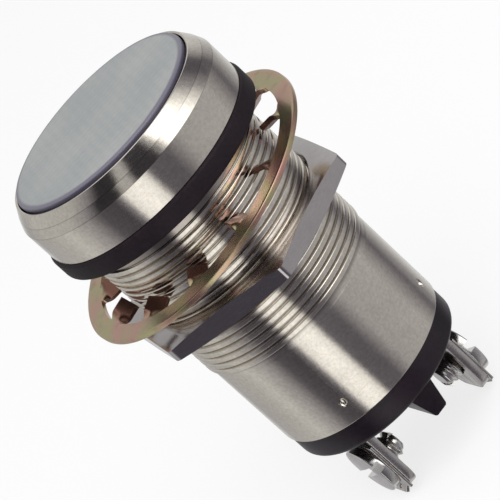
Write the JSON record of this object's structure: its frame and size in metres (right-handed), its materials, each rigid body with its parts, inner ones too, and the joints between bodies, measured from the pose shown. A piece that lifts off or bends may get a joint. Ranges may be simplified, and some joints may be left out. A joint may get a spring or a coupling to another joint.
{
  "type": "panel pilot light",
  "caption": "Round panel pilot light with a frosted lens, threaded nickel barrel, gasket, lock washer, hex nut and rear screw terminals.",
  "frame": {"origin": "centre of the gasket's rear face, where the panel's front lies", "axes": "+Z along the barrel's axis, out of the lens; +X towards terminal a"},
  "size_m": [0.0342, 0.0344, 0.055],
  "materials": {
    "nickel": "satin nickel plate on brass, finely brushed",
    "nickel_nut": "bright nickel plate",
    "frosted_lens": "pale grey translucent plastic, finely frosted, colourless",
    "seal_rubber": "matt black",
    "gasket_rubber": "matt near-black",
    "zinc_steel": "iridescent yellow zinc plate",
    "black_plastic": "moulded near-black, satin",
    "terminal_metal": "nickel-plated brass",
    "screw_metal": "nickel-plated steel",
    "white_plastic": "matt white",
    "board": "green solder mask",
    "led_plastic": "clear epoxy",
    "sleeve_plastic": "pressed board",
    "capacitor_sleeve": "dark blue shrink sleeve",
    "resistor_body": "tan lacquer",
    "wire_insulation": "black"
  },
  "bodies": {
    "body": {"housing": "nickel", "lens": "frosted_lens", "panel_gasket": "gasket_rubber", "lock_washer": "zinc_steel", "rear_insulator": "black_plastic", "terminal_blade_a": "terminal_metal", "terminal_blade_b": "terminal_metal", "lens_seal": "seal_rubber", "reflector": "white_plastic", "lamp_board": "board", "led_1": "led_plastic", "led_2": "led_plastic", "led_3": "led_plastic", "led_4": "led_plastic", "led_5": "led_plastic", "led_6": "led_plastic", "led_7": "led_plastic", "board_sleeve": "sleeve_plastic", "power_board": "board", "capacitor": "capacitor_sleeve", "resistor_a": "resistor_body", "resistor_b": "resistor_body", "rectifier": "black_plastic", "terminal_lead_a": "wire_insulation", "terminal_lead_b": "wire_insulation", "link_wire_a": "wire_insulation", "link_wire_b": "wire_insulation"},
    "nut": {"hex_nut": "nickel_nut"},
    "clamp_a": {"clamp_plate_a": "terminal_metal"},
    "screw_a": {"terminal_screw_a": "screw_metal"},
    "clamp_b": {"clamp_plate_b": "terminal_metal"},
    "screw_b": {"terminal_screw_b": "screw_metal"}
  },
  "joints": [
    {"name": "nut_travel", "type": "slide", "parent": "body", "child": "nut", "axis": [0, 0, 1], "range_m": [-0.0066, 0.0023]},
    {"name": "clamp_a_travel", "type": "slide", "parent": "body", "child": "clamp_a", "axis": [-1, 0, 0], "range_m": [-0.0018, 0]},
    {"name": "screw_a_turn", "type": "hinge", "parent": "clamp_a", "child": "screw_a", "pos_m": [0.008, 0.002, -0.0407], "axis": [-1, 0, 0], "range_deg": [-818, 2]},
    {"name": "clamp_b_travel", "type": "slide", "parent": "body", "child": "clamp_b", "axis": [1, 0, 0], "range_m": [-0.0018, 0]},
    {"name": "screw_b_turn", "type": "hinge", "parent": "clamp_b", "child": "screw_b", "pos_m": [-0.008, 0.002, -0.0407], "axis": [1, 0, 0], "range_deg": [-818, 2]}
  ],
  "couplings": [
    {"joint": "screw_a_turn", "follows": "clamp_a_travel", "rad_per_m": 7913.3},
    {"joint": "screw_b_turn", "follows": "clamp_b_travel", "rad_per_m": 7913.3}
  ]
}
